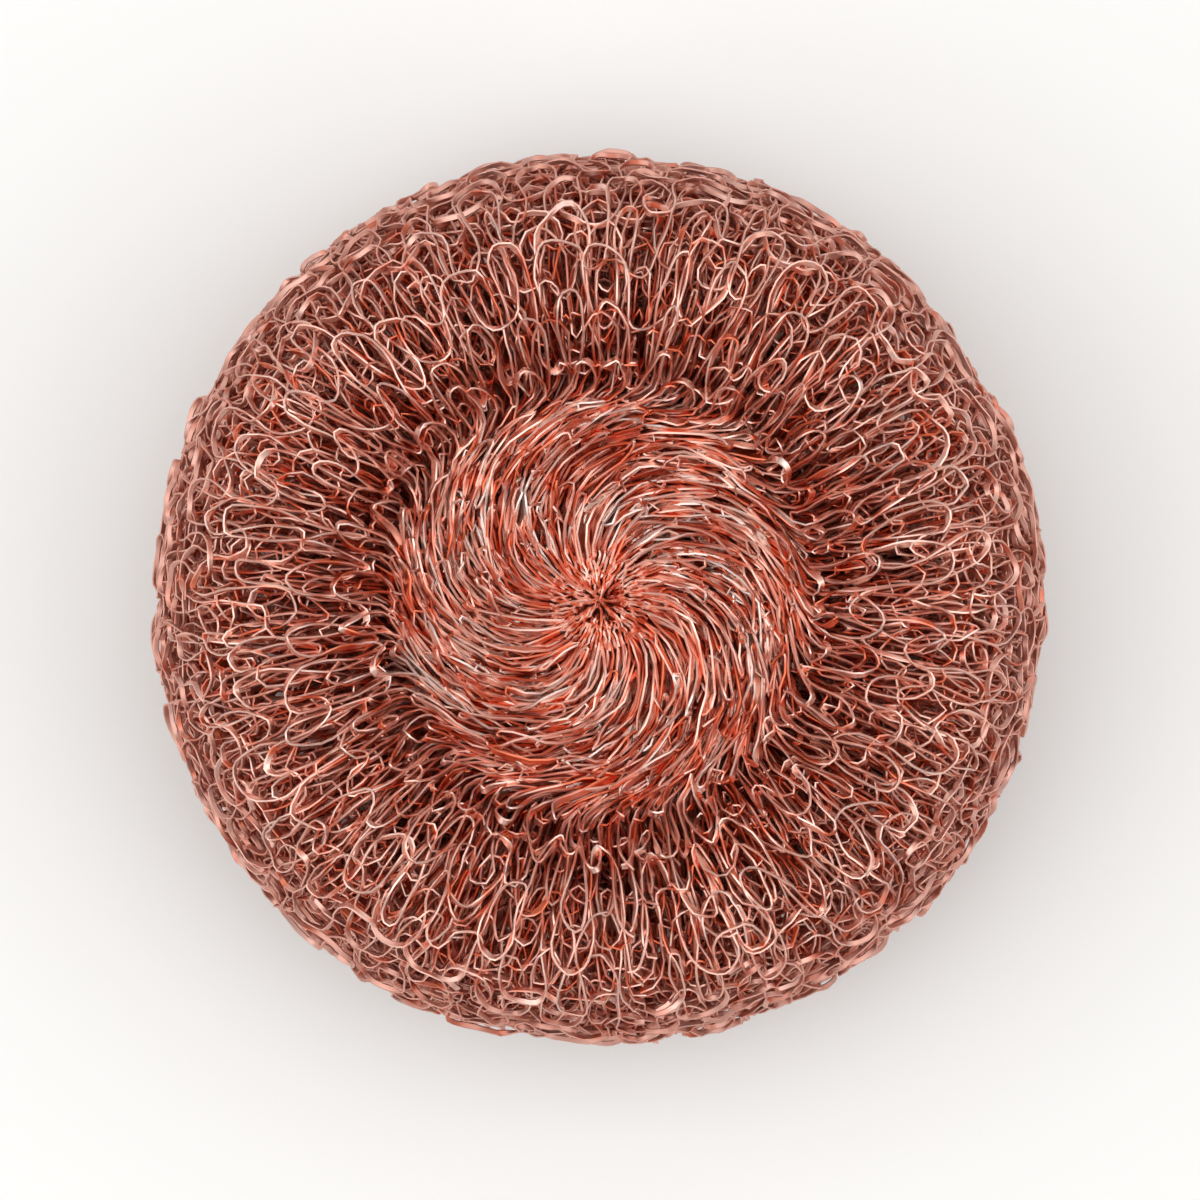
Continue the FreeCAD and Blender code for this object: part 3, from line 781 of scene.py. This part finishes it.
def wire_material(finish):
    """Copper-coated steel wire, drawn and rolled flat: a bright metal that is redder where wires face each
    other, with a coat that is uneven along the wire, pale steel patches that stand partly for a coat rolled
    thin and partly for painted glints, and painted shade on the plies below."""
    made = bpy.data.materials.get(WIRE_FINISH)
    if made:
        return made
    material = bpy.data.materials.new(WIRE_FINISH)
    material.use_nodes = True
    tree = material.node_tree
    tree.nodes.clear()
    place = add_node(tree, "ShaderNodeAttribute", attribute_name="wire_place").outputs["Vector"]
    # The coat is darker and redder in and round the swirl. The plies below get painted shade: deeper copper,
    # since they lie in each other's shade. Pale steel patches, partly wear and partly painted glints, come
    # most where the swirl is drawn in tight round its centre, and the copper is darker and duller at the side
    at = add_node(tree, "ShaderNodeTexCoord").outputs["Object"]
    flat = add_node(tree, VECTOR_MATH, [at, FLAT], operation="MULTIPLY")
    distance = add_node(tree, VECTOR_MATH, [flat], operation="LENGTH").outputs["Value"]
    in_swirl = add_node(tree, MAP_RANGE, [distance, *SWIRL_WEAR_AND_GLINT, 1.0, 0.0])
    past_centre = add_node(tree, MAP_RANGE, [distance, *CENTRE_COAT, 0.0, 1.0])
    near_swirl = add_node(tree, MAP_RANGE, [distance, *SWIRL_COAT, 1.0, 0.0])
    at_side = add_node(tree, MAP_RANGE, [distance, *SIDE_COAT, 0.0, 1.0])
    patches = add_node(
        tree, NOISE, {"Vector": place, "Scale": per_loop(PATCH_LENGTH), "Detail": 1.0}
    )
    swirl_depth = add_node(
        tree, MATH, [near_swirl, finish.swirl_depth, patches.outputs["Fac"]],
        operation="MULTIPLY_ADD",
    )
    zone_depth = add_node(
        tree, MATH, [past_centre, -finish.centre_depth, swirl_depth], operation="MULTIPLY_ADD"
    )
    # Painted shade of the plies below, added to the random patches of deeper coat
    coat_depth = add_node(tree, "ShaderNodeAttribute", attribute_name="coat_depth").outputs["Fac"]
    patch_and_shade_depth = add_node(tree, MATH, [zone_depth, coat_depth], operation="ADD")
    patch_and_shade_share = add_node(tree, MAP_RANGE, [patch_and_shade_depth, *DEEP_PATCHES, 0.0, 1.0])
    coat = add_node(
        tree, "ShaderNodeMix",
        {"Factor": patch_and_shade_share, MIX_FIRST: finish.bright_copper, MIX_SECOND: finish.deep_copper},
        data_type="RGBA",
    )
    # Painted glints and wear: pale steel patches along the wire, most in the swirl
    worn_glint_place = add_node(tree, VECTOR_MATH, [place, WORN_AND_GLINT_SHIFT], operation="ADD")
    worn_and_glint_noise = add_node(
        tree, NOISE, {"Vector": worn_glint_place, "Scale": per_loop(WORN_AND_GLINT_LENGTH), "Detail": 1.0}
    )
    worn_glint_patch = add_node(tree, MAP_RANGE, [worn_and_glint_noise.outputs["Fac"], *WORN_AND_GLINT_PATCHES, 0.0, 1.0])
    wear = add_node(
        tree, MATH, [in_swirl, finish.swirl_wear, finish.wear], operation="MULTIPLY_ADD"
    )
    wear_and_glint_zone = add_node(tree, MATH, [past_centre, wear], operation="MULTIPLY")
    worn_and_glint_share = add_node(tree, MATH, [worn_glint_patch, wear_and_glint_zone], operation="MULTIPLY")
    worn_and_glint_coat = add_node(
        tree, "ShaderNodeMix",
        {"Factor": worn_and_glint_share, MIX_FIRST: coat.outputs[MIX_RESULT], MIX_SECOND: finish.bare_steel},
        data_type="RGBA",
    )
    # The copper is made darker and duller towards the side
    dull_share = add_node(tree, MATH, [at_side, finish.side_dulling], operation="MULTIPLY")
    side_toned_coat = add_node(
        tree, "ShaderNodeMix",
        {"Factor": dull_share, MIX_FIRST: worn_and_glint_coat.outputs[MIX_RESULT], MIX_SECOND: finish.dull_copper},
        data_type="RGBA",
    )
    rolled = add_node(
        tree, NOISE, {"Vector": place, "Scale": per_loop(ROLLED_LENGTH), "Detail": 2.0}
    )
    smooth = add_node(
        tree, MAP_RANGE,
        [rolled.outputs["Fac"], *ROLLER_MARKS, finish.smoothest, finish.roughest],
    )
    roughness = add_node(
        tree, MATH, [at_side, finish.side_roughness, smooth], operation="MULTIPLY_ADD"
    )
    # Lines that the drawing die left along the wire, drawn coarser than they are so that they show
    corner = add_node(tree, "ShaderNodeAttribute", attribute_name="corner").outputs["Fac"]
    across = add_node(tree, MATH, [corner, DIE_LINE_STEP], operation="MULTIPLY")
    across_place = add_node(tree, "ShaderNodeCombineXYZ", [0.0, across, 0.0])
    line_place = add_node(tree, VECTOR_MATH, [place, across_place], operation="ADD")
    lines = add_node(
        tree, NOISE, {"Vector": line_place, "Scale": per_loop(DIE_LINE_LENGTH), "Detail": 1.0}
    )
    drawn = add_node(
        tree, "ShaderNodeBump",
        {"Strength": 0.5, "Distance": finish.die_lines, "Height": lines.outputs["Fac"]},
    )
    shader = add_node(
        tree, "ShaderNodeBsdfPrincipled",
        {
            "Base Color": side_toned_coat.outputs[MIX_RESULT], "Metallic": 1.0,
            "Roughness": roughness, "Normal": drawn,
        },
    )
    add_node(tree, "ShaderNodeOutputMaterial", [shader])
    return material


def set_inputs(modifier, tree, values):
    """Sets a modifier's inputs by the identifiers of their sockets."""
    for item in tree.interface.items_tree:
        if item.item_type == "SOCKET" and item.in_out == "INPUT" and item.name in values:
            modifier[item.identifier] = values[item.name]


def run_tree(name, node, path, tree, values):
    """Runs a tree along a path and keeps its result as a plain mesh that stands for a node."""
    made = path_object(name, path)
    modifier = made.modifiers.new("Wire", "NODES")
    modifier.node_group = tree
    set_inputs(modifier, tree, values)
    bpy.context.view_layer.update()
    plain = bpy.data.meshes.new_from_object(made.evaluated_get(bpy.context.evaluated_depsgraph_get()))
    made.modifiers.clear()
    made.data = plain
    plain.name = name
    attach(made, BODY)
    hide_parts(node)


def knit_values(knit, material):
    """The knit's settings by the names of the tree's inputs."""
    names = KnitSettings.__annotations__
    values = {name.replace("_", " ").capitalize(): getattr(knit, name) for name in names}
    return {**values, "Material": material}


def knit_ply(context, node, depth, tree, layer="", **changes):
    """Knits one ply, or one layer of it, in two lengths, front and back, which both stand for its node."""
    scene = context.scene
    values = {**knit_values(scene.scrubber_knit, wire_material(scene.scrubber_finish)), **changes}
    path = list(wale_path(scene.scrubber_sleeve, depth))
    courses = round(path_length(path) / values["Course pitch"])
    half = courses // 2
    for half_name, first, last in (("front", 0, half), ("back", half, courses)):
        course_values = {"Courses": courses, "First course": first, "Courses made": last - first}
        run_tree(f"{node}{layer}_{half_name}", node, path, tree, {**values, **course_values})


class SCRUBBER_OT_plies(bpy.types.Operator):
    """Knits the three plies of the sleeve"""

    bl_idname = "scrubber.plies"
    bl_label = "Knit the plies"

    def execute(self, context):
        tree = knit_tree()
        sleeve, knit = context.scene.scrubber_sleeve, context.scene.scrubber_knit
        knit_ply(context, PLIES[0], sleeve.ply_loft / 2, tree, Seed=PLY_SEED)
        for index, node in enumerate(PLIES[1:], start=1):
            depth = index * sleeve.ply_pitch * (1 - sleeve.nest) + sleeve.ply_loft / 2
            values = {
                "Seed": PLY_SEED + index,
                "Loop points": knit.inner_points,
                "Wales": knit.inner_wales,
                "Course pitch": knit.inner_pitch,
                # Plies lower down get more painted shade
                "Coat depth": knit.inner_painted_shade * index / (len(PLIES) - 1),
            }
            knit_ply(context, node, depth, tree, **values)
        return {"FINISHED"}


class SCRUBBER_OT_tucked_end(bpy.types.Operator):
    """Bunches the cut end of the sleeve inside the plies"""

    bl_idname = "scrubber.tucked_end"
    bl_label = "Tuck in the end"

    def execute(self, context):
        tree = bpy.data.node_groups[KNIT_TREE]
        sleeve, knit = context.scene.scrubber_sleeve, context.scene.scrubber_knit
        end = context.scene.scrubber_end
        for layer in range(end.layers):
            depth = len(PLIES) * sleeve.ply_pitch * (1 - sleeve.nest) + sleeve.ply_loft * (layer + 0.5)
            values = {
                "Seed": END_SEED + layer,
                "Loop points": end.loop_points,
                "Wales": end.wales,
                "Course pitch": end.course_pitch,
                # The bunched end lies deepest and gets the full painted shade
                "Coat depth": knit.inner_painted_shade,
            }
            knit_ply(context, "tucked_end", depth, tree, f"_layer_{layer + 1}", **values)
        return {"FINISHED"}


class SCRUBBER_OT_neck(bpy.types.Operator):
    """Gathers the wires of the twisted neck"""

    bl_idname = "scrubber.neck"
    bl_label = "Twist the neck"

    def execute(self, context):
        scene = context.scene
        knit, neck = scene.scrubber_knit, scene.scrubber_neck
        values = {
            **knit_values(knit, wire_material(scene.scrubber_finish)),
            "Strands": neck.strands,
            "Core radius": neck.core_radius,
            "Core inset": neck.core_inset,
            "Kink": knit.kink * neck.kink_share,
            "Seed": NECK_SEED,
        }
        path = list(strand_path(scene.scrubber_sleeve, neck))
        run_tree("twisted_neck_strands", "twisted_neck", path, neck_tree(), values)
        return {"FINISHED"}


class SCRUBBER_OT_stage(bpy.types.Operator):
    """Sets the floor, the lights and the camera"""

    bl_idname = "scrubber.stage"
    bl_label = "Set the stage"

    def execute(self, context):
        scene, stage = context.scene, context.scene.scrubber_stage
        mesh = bpy.data.meshes.new("floor")
        size = stage.floor_size / 2
        corners = [(-size, -size, 0), (size, -size, 0), (size, size, 0), (-size, size, 0)]
        mesh.from_pydata(corners, [], [(0, 1, 2, 3)])
        floor = bpy.data.objects.new("floor", mesh)
        scene.collection.objects.link(floor)
        paper = bpy.data.materials.new("pale_floor")
        paper.use_nodes = True
        shader = paper.node_tree.nodes["Principled BSDF"]
        shader.inputs["Base Color"].default_value = stage.floor_colour
        shader.inputs["Roughness"].default_value = 0.9
        mesh.materials.append(paper)
        for name, (place, width) in LAMPS.items():
            lamp = bpy.data.lights.new(f"{name}_lamp", "AREA")
            lamp.energy = getattr(stage, f"{name}_power")
            lamp.size = width
            holder = bpy.data.objects.new(lamp.name, lamp)
            holder.location = place
            holder.rotation_euler = (-Vector(place)).to_track_quat("-Z", "Y").to_euler()
            scene.collection.objects.link(holder)
        world = bpy.data.worlds.new("studio")
        world.use_nodes = True
        background = world.node_tree.nodes["Background"]
        background.inputs["Color"].default_value = (1, 1, 1, 1)
        background.inputs["Strength"].default_value = stage.sky
        scene.world = world
        camera = bpy.data.cameras.new("camera")
        holder = bpy.data.objects.new("camera", camera)
        top = scene.scrubber_sleeve.pad_height
        holder.location = (0, 0, stage.camera_height)
        camera.lens = camera.sensor_width * (stage.camera_height - top) / stage.field
        camera.clip_start, camera.clip_end = 0.01, 20
        scene.collection.objects.link(holder)
        scene.camera = holder
        scene.view_settings.view_transform = "Standard"
        return {"FINISHED"}


OPERATORS = (SCRUBBER_OT_plies, SCRUBBER_OT_tucked_end, SCRUBBER_OT_neck, SCRUBBER_OT_stage)


class SCRUBBER_PT_panel(bpy.types.Panel):
    """Lists the scrubber's steps and settings"""

    bl_idname = "SCRUBBER_PT_panel"
    bl_label = "Knitted wire scrubber"
    bl_space_type = "VIEW_3D"
    bl_region_type = "UI"
    bl_category = "Scrubber"

    def draw(self, context):
        for operator in OPERATORS:
            self.layout.operator(operator.bl_idname)
        for name, group in SETTINGS.items():
            box = self.layout.box()
            for key in group.__annotations__:
                box.prop(getattr(context.scene, name), key)


CLASSES = (*SETTINGS.values(), *OPERATORS, SCRUBBER_PT_panel)


def register():
    for cls in CLASSES:
        bpy.utils.register_class(cls)
    for name, group in SETTINGS.items():
        setattr(bpy.types.Scene, name, PointerProperty(type=group))


def unregister():
    for name in SETTINGS:
        delattr(bpy.types.Scene, name)
    for cls in reversed(CLASSES):
        bpy.utils.unregister_class(cls)


def main():
    register()
    bpy.ops.scrubber.plies()
    bpy.ops.scrubber.tucked_end()
    bpy.ops.scrubber.neck()
    bpy.ops.scrubber.stage()


if __name__ == "__main__":
    main()
